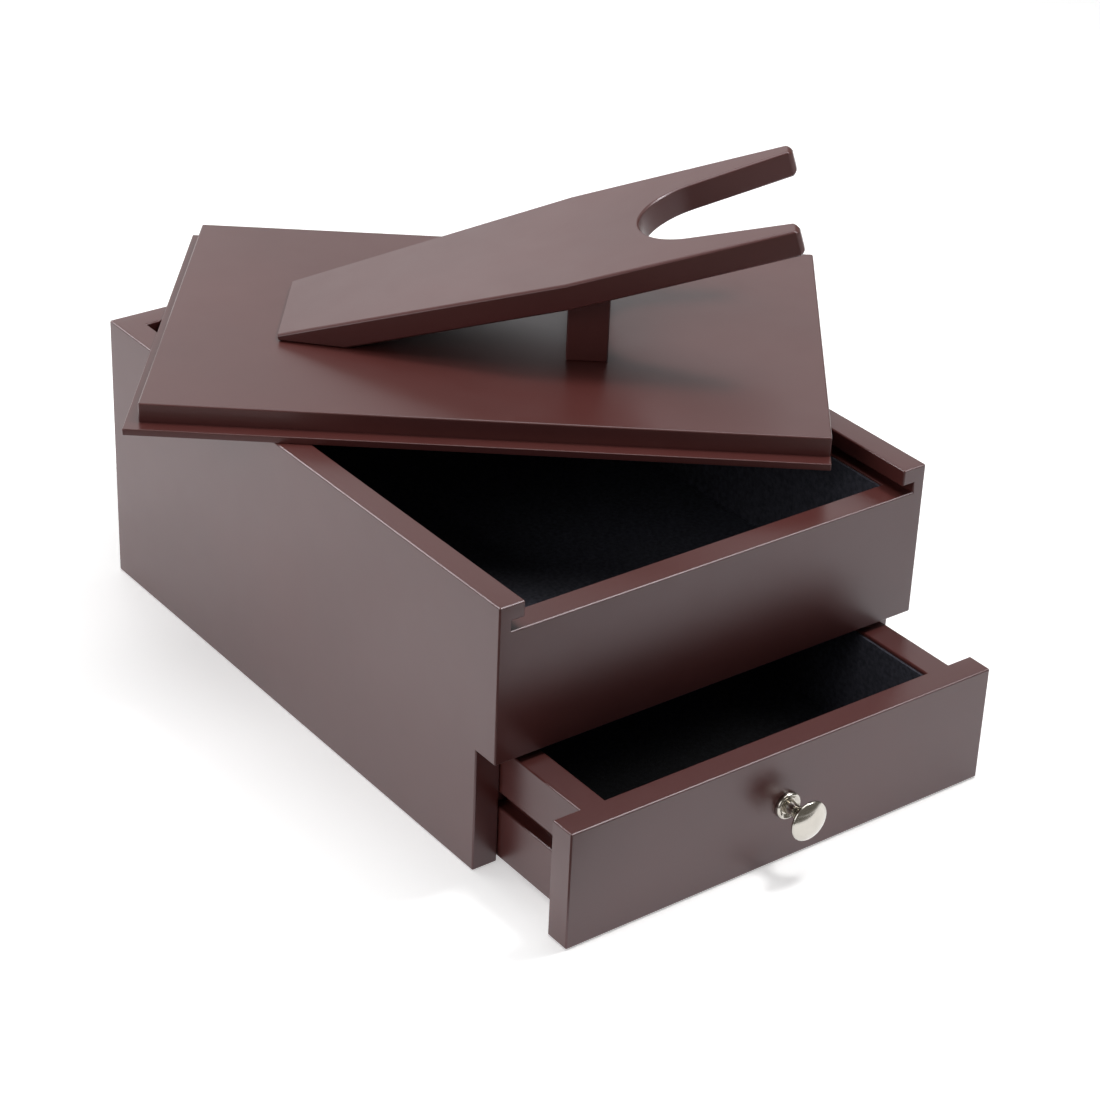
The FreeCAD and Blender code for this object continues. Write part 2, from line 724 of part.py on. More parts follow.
def footrest_post():
    post = new_body("footrest_post", f"lid_board.Placement * {place()}")
    near = "(-post_reach)"
    far = "(-post_reach - post_board)"
    pad(post, outline(post, "YZ_Plane", (
        (near, "lid_recess"),
        (near, post_top(near)),
        (far, post_top(far)),
        (far, "lid_recess"),
    )), "post_width", both=True)
    sides = [(f"{sign} * lid_screw_spread / 2", post_middle) for _, sign in hands]
    screw_holes = circles(post, "XY_Plane", sides, lid_screw_hole, place(z="lid_recess"))
    pocket(post, screw_holes, screw_in_wood, reverse=True)
    across = place("0", post_middle, post_top(post_middle), "rotation(vector(1; 0; 0); -slope_angle)")
    pocket(post, circles(post, "XY_Plane", [(x, "0") for x in post_dowel_sides], dowel_hole, across),
           f"{dowel_long} + fastener_end_play")


def footrest_dowels():
    group("footrest_dowels", [
        dowel(f"footrest_dowel_{index}",
              f"footrest.Placement * {place(x, post_dowel_place(), f'-{dowel_long}')}")
        for index, x in enumerate(post_dowel_sides)
    ])


for hand, sign in hands:
    side_board(hand, sign)
front_panel()
back_board()
case_floor()
runners()
dowels_of_case()
drawer_front()
for hand, sign in hands:
    drawer_side(hand, sign)
drawer_back()
drawer_bottom()
dowels_of_drawer()
knob()
lid_board()
footrest()
footrest_post()
lid_screws()
footrest_dowels()

doc.recompute()
for item in doc.Objects:
    if "Invalid" in item.State or "Error" in item.State:
        raise RuntimeError(f"{item.Label} failed: {item.State}")
for node in nodes:
    if node.Shape.isNull() or not node.Shape.isValid():
        raise RuntimeError(f"{node.Label} has no valid shape")

os.makedirs("parts", exist_ok=True)
for node in nodes:
    node.Shape.exportStep(f"parts/{node.Label}.step")
    box = node.Shape.BoundBox
    print(f"{node.Label}: {len(node.Shape.Solids)} solids, {node.Shape.Volume:.0f} mm3, "
          f"X {box.XMin:.1f} to {box.XMax:.1f}, Y {box.YMin:.1f} to {box.YMax:.1f}, "
          f"Z {box.ZMin:.1f} to {box.ZMax:.1f}")
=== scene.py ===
import math

import bmesh
import bpy
from mathutils import Matrix, Vector
from mathutils.noise import noise as unevenness


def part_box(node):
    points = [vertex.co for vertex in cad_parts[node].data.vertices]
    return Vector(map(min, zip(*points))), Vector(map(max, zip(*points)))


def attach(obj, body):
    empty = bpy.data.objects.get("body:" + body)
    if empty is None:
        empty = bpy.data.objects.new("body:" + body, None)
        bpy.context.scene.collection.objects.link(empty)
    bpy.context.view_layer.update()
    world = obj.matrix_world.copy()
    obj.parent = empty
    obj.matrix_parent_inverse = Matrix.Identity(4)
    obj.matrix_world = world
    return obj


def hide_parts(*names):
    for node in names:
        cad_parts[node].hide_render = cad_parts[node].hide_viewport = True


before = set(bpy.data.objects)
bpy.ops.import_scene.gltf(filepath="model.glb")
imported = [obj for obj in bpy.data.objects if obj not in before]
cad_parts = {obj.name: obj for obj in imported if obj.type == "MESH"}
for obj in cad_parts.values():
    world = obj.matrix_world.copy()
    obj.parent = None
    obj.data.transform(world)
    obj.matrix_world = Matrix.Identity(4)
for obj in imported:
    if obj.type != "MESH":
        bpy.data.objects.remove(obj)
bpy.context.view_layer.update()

mm = 0.001

# Camera

camera = {
    "place": (-0.81474, -1.28977, 0.83771),
    "lens": 94.285,  # mm, as is the sensor's width
    "heading": 37.604,  # degrees to the right of +Y
    "tilt": -29.496,
    "roll": 2.463,
    "sensor": 36,
    "clip": (0.05, 50),  # m, what it sees
}


def makeCamera():
    data = bpy.data.cameras.new("camera")
    data.lens = camera["lens"]
    data.sensor_width = camera["sensor"]
    data.sensor_fit = "HORIZONTAL"
    data.clip_start, data.clip_end = camera["clip"]
    eye = bpy.data.objects.new("camera", data)
    bpy.context.scene.collection.objects.link(eye)
    level = Matrix.Rotation(-math.radians(camera["heading"]), 4, "Z")
    level = level @ Matrix.Rotation(math.radians(90 + camera["tilt"]), 4, "X")
    eye.matrix_world = Matrix.Translation(camera["place"]) @ level @ Matrix.Rotation(
        math.radians(camera["roll"]), 4, "Z")
    bpy.context.scene.camera = eye


makeCamera()
print("camera ready")

# Materials


def newMaterial(name):
    material = bpy.data.materials.new(name)
    material.use_nodes = True
    tree = material.node_tree
    shader = tree.nodes["Principled BSDF"]
    coordinates = tree.nodes.new("ShaderNodeTexCoord")
    return material, tree, shader, coordinates.outputs["Object"]


def noise(tree, vector, scale, detail, roughness=0.5):
    node = tree.nodes.new("ShaderNodeTexNoise")
    node.inputs["Scale"].default_value = scale
    node.inputs["Detail"].default_value = detail
    node.inputs["Roughness"].default_value = roughness
    tree.links.new(vector, node.inputs["Vector"])
    return node.outputs["Fac"]


def stretched(tree, vector, scale):
    node = tree.nodes.new("ShaderNodeMapping")
    node.inputs["Scale"].default_value = scale
    tree.links.new(vector, node.inputs["Vector"])
    return node.outputs["Vector"]


# Goes from the dark shade to the light one over the span in which noise mostly lies.
def ramp(tree, factor, dark, light, span=(0.3, 0.7)):
    node = tree.nodes.new("ShaderNodeValToRGB")
    for stop, place, shade in zip(node.color_ramp.elements, span, (dark, light)):
        stop.position = place
        stop.color = (*shade, 1)
    tree.links.new(factor, node.inputs["Fac"])
    return node.outputs["Color"]


def between(tree, factor, low, high):
    node = tree.nodes.new("ShaderNodeMapRange")
    node.inputs["To Min"].default_value = low
    node.inputs["To Max"].default_value = high
    tree.links.new(factor, node.inputs["Value"])
    return node.outputs["Result"]


def bump(tree, height, strength, distance, after=None):
    node = tree.nodes.new("ShaderNodeBump")
    node.inputs["Strength"].default_value = strength
    node.inputs["Distance"].default_value = distance
    tree.links.new(height, node.inputs["Height"])
    if after:
        tree.links.new(after, node.inputs["Normal"])
    return node.outputs["Normal"]


lacquerLook = {
    "dark": (0.073, 0.0178, 0.0150),
    "light": (0.087, 0.0214, 0.0182),
    "cloudScale": 9,
    "roughness": (0.30, 0.36),
    "hazeScale": 60,  # of the duller and glossier spots
    "refraction": 1.6,
    "sheenShade": (0.98, 0.95, 1.0),  # the wax's faintly cool haze
    "peelScale": 700,  # the sprayed finish's fine ripple
    "peelStrength": 0.25,
    "peelDepth": 0.02 * mm,
}

innerWoodLook = dict(lacquerLook, dark=(0.040, 0.012, 0.010), light=(0.052, 0.016, 0.013),
                     roughness=(0.42, 0.50))


def makeLacquer(name, look):
    material, tree, shader, place = newMaterial(name)
    link = tree.links.new
    clouds = noise(tree, place, look["cloudScale"], 4)
    link(ramp(tree, clouds, look["dark"], look["light"]), shader.inputs["Base Color"])
    haze = noise(tree, place, look["hazeScale"], 2)
    link(between(tree, haze, *look["roughness"]), shader.inputs["Roughness"])
    peel = noise(tree, place, look["peelScale"], 1)
    link(bump(tree, peel, look["peelStrength"], look["peelDepth"]), shader.inputs["Normal"])
    shader.inputs["IOR"].default_value = look["refraction"]
    shader.inputs["Specular Tint"].default_value = (*look["sheenShade"], 1)
    return material


feltLook = {
    "dark": (0.026, 0.026, 0.034),
    "light": (0.066, 0.066, 0.085),
    "span": (0.35, 0.7),
    "tuftScale": 420,
    "tuftStrength": 0.5,
    "tuftDepth": 0.3 * mm,
    "fibreScale": 2600,
    "fibreStretch": (1, 0.5, 1),
    "fibreStrength": 0.6,
    "fibreDepth": 0.15 * mm,
    "roughness": 0.95,
    "specular": 0.2,
    "sheen": 0.25,
    "sheenRoughness": 0.5,
    "sheenShade": (0.35, 0.38, 0.5),
}


def makeFelt(name, look):
    material, tree, shader, place = newMaterial(name)
    tufts = noise(tree, place, look["tuftScale"], 4, 0.65)
    shades = ramp(tree, tufts, look["dark"], look["light"], look["span"])
    tree.links.new(shades, shader.inputs["Base Color"])
    fibres = noise(tree, stretched(tree, place, look["fibreStretch"]), look["fibreScale"], 3, 0.7)
    soft = bump(tree, tufts, look["tuftStrength"], look["tuftDepth"])
    tree.links.new(bump(tree, fibres, look["fibreStrength"], look["fibreDepth"], soft),
                   shader.inputs["Normal"])
    shader.inputs["Roughness"].default_value = look["roughness"]
    shader.inputs["Specular IOR Level"].default_value = look["specular"]
    shader.inputs["Sheen Weight"].default_value = look["sheen"]
    shader.inputs["Sheen Roughness"].default_value = look["sheenRoughness"]
    shader.inputs["Sheen Tint"].default_value = (*look["sheenShade"], 1)
    return material


nickelLook = {
    "dark": (0.44, 0.415, 0.375),
    "light": (0.49, 0.465, 0.425),
    "roughness": (0.13, 0.19),
    "smearScale": 90,
    "smearStretch": (1, 6, 1),
    "grainScale": 1500,
    "grainStrength": 0.03,
    "grainDepth": 0.01 * mm,
}

steelLook = dict(nickelLook, dark=(0.42, 0.42, 0.42), light=(0.52, 0.52, 0.51),
                 roughness=(0.25, 0.35), smearScale=200)


def makeMetal(name, look):
    material, tree, shader, place = newMaterial(name)
    link = tree.links.new
    smears = noise(tree, stretched(tree, place, look["smearStretch"]), look["smearScale"], 3)
    link(ramp(tree, smears, look["dark"], look["light"]), shader.inputs["Base Color"])
    link(between(tree, smears, *look["roughness"]), shader.inputs["Roughness"])
    grain = noise(tree, place, look["grainScale"], 2)
    link(bump(tree, grain, look["grainStrength"], look["grainDepth"]), shader.inputs["Normal"])
    shader.inputs["Metallic"].default_value = 1
    return material


dowelLook = {
    "dark": (0.36, 0.22, 0.11),
    "light": (0.5, 0.34, 0.19),
    "grainScale": 300,
    "grainStretch": (1, 1, 9),
    "roughness": 0.6,
}


def makeDowelWood(name, look):
    material, tree, shader, place = newMaterial(name)
    grain = noise(tree, stretched(tree, place, look["grainStretch"]), look["grainScale"], 4)
    tree.links.new(ramp(tree, grain, look["dark"], look["light"]), shader.inputs["Base Color"])
    shader.inputs["Roughness"].default_value = look["roughness"]
    return material


lacquer = makeLacquer("lacquer", lacquerLook)
innerWood = makeLacquer("innerWood", innerWoodLook)
felt = makeFelt("felt", feltLook)
nickel = makeMetal("nickel", nickelLook)
steel = makeMetal("steel", steelLook)
dowelWood = makeDowelWood("dowelWood", dowelLook)
print("materials ready")

# Shared shop work

creaseAngle = math.radians(43)  # sharper turns stay crisp
leastCorner = 0.2  # radians, of an edge that is rounded
flatAngle = 0.01  # radians; faces that turn less are joined into one
easeProfile = 0.36  # a little flatter than a quarter circle, which is 0.5
pastWood = 50 * mm  # how far a cut reaches past what it cuts
# leeways for telling an edge by its place
slack = 1 * mm
hair = 0.1 * mm
speck = 0.01 * mm


# A solid of square-cut boards: boxes that add wood or cut it away, one after another, to a micrometre.
def carve(steps):
    lines = [sorted({round(corner[axis], 6) for step in steps for corner in step[1:]}) for axis in range(3)]
    filled = set()
    for keep, low, high in steps:
        for i in range(len(lines[0]) - 1):
            for j in range(len(lines[1]) - 1):
                for k in range(len(lines[2]) - 1):
                    middle = [(lines[axis][cell] + lines[axis][cell + 1]) / 2
                              for axis, cell in enumerate((i, j, k))]
                    if not all(low[axis] < middle[axis] < high[axis] for axis in range(3)):
                        continue
                    if keep:
                        filled.add((i, j, k))
                    else:
                        filled.discard((i, j, k))
    mesh = bmesh.new()
    points = {}

    def point(cell):
        if cell not in points:
            points[cell] = mesh.verts.new([lines[axis][cell[axis]] for axis in range(3)])
        return points[cell]

    for cell in sorted(filled):
        for axis in range(3):
            for side in (0, 1):
                beyond = list(cell)
                beyond[axis] += 1 if side else -1
                if tuple(beyond) in filled:
                    continue
                u, v = (axis + 1) % 3, (axis + 2) % 3
                corners = []
                for du, dv in ((0, 0), (1, 0), (1, 1), (0, 1)):
                    spot = list(cell)
                    spot[axis] += side
                    spot[u] += du
                    spot[v] += dv
                    corners.append(point(tuple(spot)))
                mesh.faces.new(corners if side else corners[::-1])
    bmesh.ops.dissolve_limit(mesh, angle_limit=flatAngle, verts=mesh.verts, edges=mesh.edges)
    mesh.normal_update()
    return mesh


def isConvexCorner(edge):
    return edge.is_manifold and edge.is_convex and edge.calc_face_angle(0) > leastCorner


def withModifier(data, kind, settings):
    work = bpy.data.objects.new("work", data)
    bpy.context.scene.collection.objects.link(work)
    tool = work.modifiers.new("tool", kind)
    for name, value in settings.items():
        setattr(tool, name, value)
    bpy.context.view_layer.update()
    made = bpy.data.meshes.new_from_object(work.evaluated_get(bpy.context.evaluated_depsgraph_get()))
    bpy.data.objects.remove(work)
    return made


# Rounds the outer edges. reach gives an edge's share of the width, from 0 to 1.
def easeEdges(mesh, width, steps, reach=lambda edge: 1.0):
    weights = mesh.edges.layers.float.new("bevel_weight_edge")
    for edge in mesh.edges:
        edge[weights] = reach(edge) if isConvexCorner(edge) else 0.0
    rounded = withModifier(meshOf(mesh), "BEVEL", {
        "limit_method": "WEIGHT", "width": width, "segments": steps, "profile": easeProfile,
        "miter_outer": "MITER_SHARP"})
    creased = bmesh.new()
    creased.from_mesh(rounded)
    for edge in creased.edges:
        edge.smooth = edge.calc_face_angle(0) < creaseAngle
    # the flat faces stay flat to the light, and the rounding takes up the whole turn
    return withModifier(meshOf(creased), "WEIGHTED_NORMAL", {"weight": 100, "keep_sharp": True})


def addPiece(name, data, body, material, nodes):
    data.name = name
    data.materials.clear()
    data.materials.append(material)
    piece = bpy.data.objects.new(name, data)
    bpy.context.scene.collection.objects.link(piece)
    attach(piece, body)
    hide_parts(*nodes)
    return piece


def meshOf(bm):
    data = bpy.data.meshes.new("work")
    bm.to_mesh(data)
    bm.free()
    for polygon in data.polygons:
        polygon.use_smooth = True
    return data


# A CAD node's own shape, merged and cleaned so that its edges can be eased.
def mergedCopy(node):
    mesh = bmesh.new()
    mesh.from_mesh(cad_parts[node].data)
    bmesh.ops.remove_doubles(mesh, verts=mesh.verts, dist=speck)
    bmesh.ops.dissolve_limit(mesh, angle_limit=flatAngle, verts=mesh.verts, edges=mesh.edges)
    mesh.normal_update()
    return mesh


def dress(node, material):
    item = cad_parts[node]
    item.data.materials.clear()
    item.data.materials.append(material)


# Case

case = {
    "ease": 0.9 * mm,  # the outer edges' rounding
    "easeSteps": 4,
    "grooveEase": 0.45,  # the groove's edges have this share of it
    "grooveHeight": 5.5 * mm,
    "grooveDepth": 7.5 * mm,
    "frontCutBack": 15.7 * mm,  # of the side boards, over the drawer's front
    "runnerEase": 0.5 * mm,
    "runnerEaseSteps": 2,
}


def makeCase():
    low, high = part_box("left_side")[0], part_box("right_side")[1]
    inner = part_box("right_side")[0].x
    panelLow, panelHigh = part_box("front_panel")
    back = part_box("back_board")[0].y
    grooveDepth = case["grooveDepth"]
    grooveTop = panelHigh.z + case["grooveHeight"]
    before = low.y - pastWood
    above = high.z + pastWood
    shell = carve((
        (True, low, high),
        (False, (-inner, panelHigh.y, -pastWood), (inner, back, above)),
        (False, (-inner, before, panelHigh.z), (inner, panelHigh.y, above)),
        (False, (-inner, before, -pastWood), (inner, panelHigh.y, panelLow.z)),
        (False, (low.x - pastWood, before, -pastWood),
         (high.x + pastWood, low.y + case["frontCutBack"], panelLow.z)),
        (False, (-inner - grooveDepth, before, panelHigh.z),
         (inner + grooveDepth, back + grooveDepth, grooveTop)),
    ))

    def reach(edge):
        middle = (edge.verts[0].co + edge.verts[1].co) / 2
        atGroove = abs(middle.z - panelHigh.z) < case["grooveHeight"] + hair
        inside = abs(middle.x) < inner + slack and middle.y > low.y + slack
        return case["grooveEase"] if atGroove and inside else 1.0

    addPiece("caseShell", easeEdges(shell, case["ease"], case["easeSteps"], reach), "case", lacquer,
             ("left_side", "right_side", "front_panel", "back_board"))
    for hand in ("left", "right"):
        node = f"{hand}_runner"
        strip = easeEdges(mergedCopy(node), case["runnerEase"], case["runnerEaseSteps"])
        addPiece(f"{hand}RunnerStrip", strip, "case", innerWood, (node,))
    dress("compartment_floor", innerWood)
    dress("case_dowels", dowelWood)


makeCase()
print("case ready")

# Drawer

drawer = {
    "ease": 0.9 * mm,
    "frontEase": 1.5 * mm,
    "easeSteps": 4,
    "longUpright": 30 * mm,  # the front's longer upright edges have frontEase, and all others ease
    "runnerGroove": (32.0 * mm, 40.5 * mm),  # bottom and top above the table
    "runnerGrooveDepth": 7.0 * mm,
}


def makeDrawer():
    low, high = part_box("drawer_front")
    sideLow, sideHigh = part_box("drawer_right_side")
    inner = sideLow.x
    outer = sideHigh.x
    boardBack = high.y
    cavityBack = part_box("drawer_back")[0].y
    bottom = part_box("drawer_bottom")
    below = low.z - pastWood
    above = high.z + pastWood
    past = high.x + pastWood
    behind = sideHigh.y + pastWood
    grooveLow, grooveHigh = drawer["runnerGroove"]
    steps = [
        (True, low, (high.x, sideHigh.y, high.z)),
        (False, (-past, boardBack, below), (past, behind, sideLow.z)),
        (False, (-inner, boardBack, below), (inner, cavityBack, above)),
        (False, bottom[0], bottom[1]),
    ]
    for side in (-1, 1):
        for start, lowest, highest in ((outer, below, above),
                                       (outer - drawer["runnerGrooveDepth"], grooveLow, grooveHigh)):
            edges = sorted((side * start, side * past))
            steps.append((False, (edges[0], boardBack, lowest), (edges[1], behind, highest)))
    shell = carve(steps)

    def reach(edge):
        upright = abs(edge.verts[0].co.z - edge.verts[1].co.z) > drawer["longUpright"]
        onFront = edge.verts[0].co.y < boardBack - slack
        return 1.0 if upright and onFront else drawer["ease"] / drawer["frontEase"]

    addPiece("drawerShell", easeEdges(shell, drawer["frontEase"], drawer["easeSteps"], reach), "drawer",
             lacquer, ("drawer_front", "drawer_left_side", "drawer_right_side", "drawer_back"))
    dress("drawer_bottom", innerWood)
    dress("drawer_dowels", dowelWood)


makeDrawer()
print("drawer ready")

# Felt linings

lining = {
    "round": 0.5 * mm,  # of the felt's cut edge
    "roundSteps": 4,
    "roundShare": 0.8,  # the most of the felt's thickness that it takes
    "cell": 10 * mm,
    "dip": 0.22 * mm,  # how unevenly the glued felt lies
    "dipWidth": 45 * mm,
}


# Places across one side of a sheet, closer together along its rounded edges.
def feltRows(width):
    steps = lining["roundSteps"]
    edge = [lining["round"] * (1 - math.cos(math.pi / 2 * step / steps)) for step in range(steps + 1)]
    count = max(1, round((width - 2 * edge[-1]) / lining["cell"]))
    middle = [edge[-1] + (width - 2 * edge[-1]) * step / count for step in range(1, count)]
    return edge + middle + [width - place for place in reversed(edge)]


# The felt's height over its board, at a distance from its nearest edge.
def feltHeight(thick, distance, spot):
    radius = min(lining["round"], thick * lining["roundShare"])
    inset = radius * max(0.0, 1 - distance / lining["round"])
    rounded = radius - math.sqrt(max(0.0, radius ** 2 - inset ** 2))
    hollow = 0.5 + 0.5 * unevenness(spot / lining["dipWidth"])  # from 0 to 1
    return thick - max(rounded, lining["dip"] * hollow)


# axis is the one through the felt's thickness, and facing is 1 or -1 along it.
def makeLining(node, body, axis, facing, board):
    low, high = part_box(node)
    size = high - low
    u, v = (axis + 1) % 3, (axis + 2) % 3
    rows = feltRows(size[u])
    columns = feltRows(size[v])
    mesh = bmesh.new()

    def point(across, along, exposed):
        spot = Vector(low)
        spot[u] += across
        spot[v] += along
        height = 0
        if exposed:
            fromEdge = min(across, along, size[u] - across, size[v] - along)
            height = feltHeight(size[axis], fromEdge, spot)
        spot[axis] = low[axis] + height if facing > 0 else high[axis] - height
        return mesh.verts.new(spot)

    top = [[point(across, along, True) for along in columns] for across in rows]
    glued = [[point(across, along, False) for along in columns] for across in rows]
    for layer in (top, glued):
        for i in range(len(rows) - 1):
            for j in range(len(columns) - 1):
                mesh.faces.new((layer[i][j], layer[i + 1][j], layer[i + 1][j + 1], layer[i][j + 1]))
    lastRow = len(rows) - 1
    lastColumn = len(columns) - 1
    rim = [(i, 0) for i in range(lastRow)] + [(lastRow, j) for j in range(lastColumn)]
    rim += [(i, lastColumn) for i in range(lastRow, 0, -1)] + [(0, j) for j in range(lastColumn, 0, -1)]
    for (i, j), (k, m) in zip(rim, rim[1:] + rim[:1]):
        mesh.faces.new((glued[i][j], glued[k][m], top[k][m], top[i][j]))
    bmesh.ops.recalc_face_normals(mesh, faces=mesh.faces)
    sheet = addPiece(node.replace("_lining_", "Felt."), meshOf(mesh), body, felt, (node,))


for room, body, floorBoard, shell in (("compartment", "case", "compartment_floor", "caseShell"),
                                      ("drawer", "drawer", "drawer_bottom", "drawerShell")):
    makeLining(f"{room}_lining_floor", body, 2, 1, floorBoard)
    for side, axis, facing in (("left", 0, 1), ("right", 0, -1), ("front", 1, 1), ("back", 1, -1)):
        makeLining(f"{room}_lining_{side}", body, axis, facing, shell)
print("linings ready")

# Knob

# Reaches are counted outwards from the drawer's front.
knob = {
    "turns": 96,
    "rosetteRadius": 7.5 * mm,
    "rosetteShoulder": 1.6 * mm,
    "rosetteHeight": 3 * mm,
    "ringRadius": 6.3 * mm,
    "rosetteBulge": 0.3 * mm,
    "dishRadius": 4.6 * mm,
    "dishHeight": 1.4 * mm,
    "boreRadius": 2.2 * mm,
    "footRadius": 4.1 * mm,
    "footHeight": 0.5 * mm,
    "flareWidth": 0.35 * mm,  # how much wider the neck is at flareReach below its waist
    "flareReach": 2.3 * mm,
    "waistRadius": 3.25 * mm,
    "waistReach": 6 * mm,
    "headRadius": 10.5 * mm,
    "rimReach": 16.1 * mm,
    "rimWidth": 1.9 * mm,
    "rimBulge": 0.5 * mm,
    "reach": 21 * mm,
    "edgeRound": 0.25 * mm,
    "ringSteps": 6,
    "neckSteps": 20,
    "rimSteps": 8,
    "domeSteps": 16,
}


# Points on an arc from start to end that swells to the right of the way by the given rise.
def swell(start, end, rise, steps):
    start = Vector(start)
    end = Vector(end)
    chord = end - start
    radius = (chord.length ** 2 / 4 + rise ** 2) / (2 * abs(rise))
    side = Vector((chord.y, -chord.x)).normalized() * math.copysign(1, rise)
    centre = (start + end) / 2 - side * (radius - abs(rise))
    first = start - centre
    spread = first.angle_signed(end - centre)
    return [centre + Matrix.Rotation(-spread * step / steps, 2) @ first for step in range(steps + 1)]


# Rounds the corners of a profile. Turns of under leastTurn radians are left as they are.
def softened(points, radius, steps=3, leastTurn=0.5):
    out = [Vector(points[0])]
    for before, corner, after in zip(points, points[1:], points[2:]):
        corner = Vector(corner)
        into = Vector(before) - corner
        away = Vector(after) - corner
        reach = min(radius, into.length * 0.45, away.length * 0.45)  # two corners share a side
        if math.pi - into.angle(away) < leastTurn:
            out.append(corner)
            continue
        first = corner + into.normalized() * reach
        last = corner + away.normalized() * reach
        for step in range(steps + 1):
            t = step / steps
            out.append(first * (1 - t) ** 2 + corner * 2 * t * (1 - t) + last * t ** 2)
    return out + [Vector(points[-1])]


# Turns a profile of radius and reach about the knob's axis.
def turnedOnFront(profile, turns):
    low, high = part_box("knob")
    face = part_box("drawer_front")[0].y
    level = (low.z + high.z) / 2
    mesh = bmesh.new()
    rings = []
    for radius, reach in profile:
        count = turns if radius > 0 else 1
        rings.append([mesh.verts.new((radius * math.cos(2 * math.pi * turn / turns), face - reach,
                                      level + radius * math.sin(2 * math.pi * turn / turns)))
                      for turn in range(count)])
    for near, far in zip(rings, rings[1:]):
        for turn in range(turns):
            corners = [near[turn % len(near)], near[(turn + 1) % len(near)],
                       far[(turn + 1) % len(far)], far[turn % len(far)]]
            kept = [vert for index, vert in enumerate(corners) if vert not in corners[:index]]
            if len(kept) > 2:
                mesh.faces.new(kept)
    bmesh.ops.recalc_face_normals(mesh, faces=mesh.faces)
    return meshOf(mesh)


def makeKnob():
    k = knob
    ring = [(k["boreRadius"], 0), (k["rosetteRadius"], 0)]
    ring += swell((k["rosetteRadius"], k["rosetteShoulder"]), (k["ringRadius"], k["rosetteHeight"]),
                  k["rosetteBulge"], k["ringSteps"])
    ring += [(k["dishRadius"], k["dishHeight"]), (k["boreRadius"], k["dishHeight"]), (k["boreRadius"], 0)]
    addPiece("knobRosette", turnedOnFront(softened(ring, k["edgeRound"]), k["turns"]), "drawer", nickel,
             ("knob_rosette",))

    head = [(0, k["dishHeight"]), (k["footRadius"], k["dishHeight"]),
            (k["footRadius"], k["dishHeight"] + k["footHeight"]),
            (k["waistRadius"] + k["flareWidth"], k["waistReach"] - k["flareReach"])]
    neckOut = k["headRadius"] - k["waistRadius"]
    neckUp = k["rimReach"] - k["waistReach"]
    sweep = (neckOut ** 2 + neckUp ** 2) / (2 * neckOut)
    for step in range(k["neckSteps"] + 1):
        up = neckUp * math.sin(math.pi / 2 * step / k["neckSteps"])
        head.append((k["waistRadius"] + sweep - math.sqrt(sweep ** 2 - up ** 2), k["waistReach"] + up))
    domeStart = k["rimReach"] + k["rimWidth"]
    head += swell((k["headRadius"], k["rimReach"]), (k["headRadius"], domeStart), k["rimBulge"],
                  k["rimSteps"])[1:]
    rise = k["reach"] - domeStart
    dome = (k["headRadius"] ** 2 + rise ** 2) / (2 * rise)
    for step in range(1, k["domeSteps"] + 1):
        out = k["headRadius"] * (1 - step / k["domeSteps"])
        head.append((out, k["reach"] - dome + math.sqrt(dome ** 2 - out ** 2)))
    addPiece("knobHead", turnedOnFront(softened(head, k["edgeRound"]), k["turns"]), "drawer", nickel,
             ("knob",))
    dress("knob_screw", steel)


makeKnob()
print("knob ready")

# Lid

lid = {
    "place": (23.5 * mm, -139.5 * mm, 158 * mm),
    "turn": 51.5,  # degrees, as it lies across the case
    "ease": 0.9 * mm,
    "easeSteps": 4,
    "tongue": 3.8 * mm,
    "tongueEase": 0.4 * mm,
    "smallestEasedEdge": 4 * mm,  # shorter edges belong to the screw holes
    "postEase": 0.8 * mm,
    "postEaseSteps": 3,
}

footrest = {
    "slope": 17.5,  # degrees
    "thickness": 15 * mm,
    "toeReach": 112 * mm,  # of the toe behind the lid's middle
    "toeEdge": 3.8 * mm,
    "lidTop": 14.5 * mm,
    "toeHalfWidth": 35.5 * mm,
    "forkHalfWidth": 60 * mm,
    "taperLength": 160 * mm,
    "length": 284 * mm,
    "notchRadius": 36.5 * mm,
    "notchStart": 198.3 * mm,
    "notchFlare": 13.5,  # degrees
    "notchSteps": 44,
    "tipRound": 3.2 * mm,  # the fork's ends, above and at their upright corners
    "tipUnderRound": 2.6 * mm,
    "notchRound": 1.2 * mm,
    "sideRound": 1.7 * mm,
    "toeRound": 0.5 * mm,
    "toeEnd": 45 * mm,  # how far from the toe its rounding is used
    "smallestUpright": 4 * mm,  # shorter upright edges stay sharp
    "roundSteps": 5,
}


def lidFrame():
    return Matrix.Translation(lid["place"]) @ Matrix.Rotation(math.radians(lid["turn"]), 4, "Z")


def longEdge(edge):
    return 1.0 if edge.calc_length() > lid["smallestEasedEdge"] else 0.0


def makeLidBoard():
    tongueTop = lid["place"][2] + lid["tongue"]

    def reach(edge):
        highest = max(vert.co.z for vert in edge.verts)
        if highest < tongueTop + hair and edge.calc_length() > lid["tongue"] - hair:
            return lid["tongueEase"] / lid["ease"]
        return longEdge(edge)

    board = easeEdges(mergedCopy("lid_board"), lid["ease"], lid["easeSteps"], reach)
    addPiece("lidBoard", board, "lid", lacquer, ("lid_board",))


def footrestFrame():
    slope = math.radians(footrest["slope"])
    thick = footrest["thickness"]
    start = (0, footrest["toeReach"] - thick * math.sin(slope),
             footrest["lidTop"] + footrest["toeEdge"] - thick * math.cos(slope))
    return lidFrame() @ Matrix.Translation(start) @ Matrix.Rotation(math.pi, 4, "Z") @ Matrix.Rotation(
        slope, 4, "X")


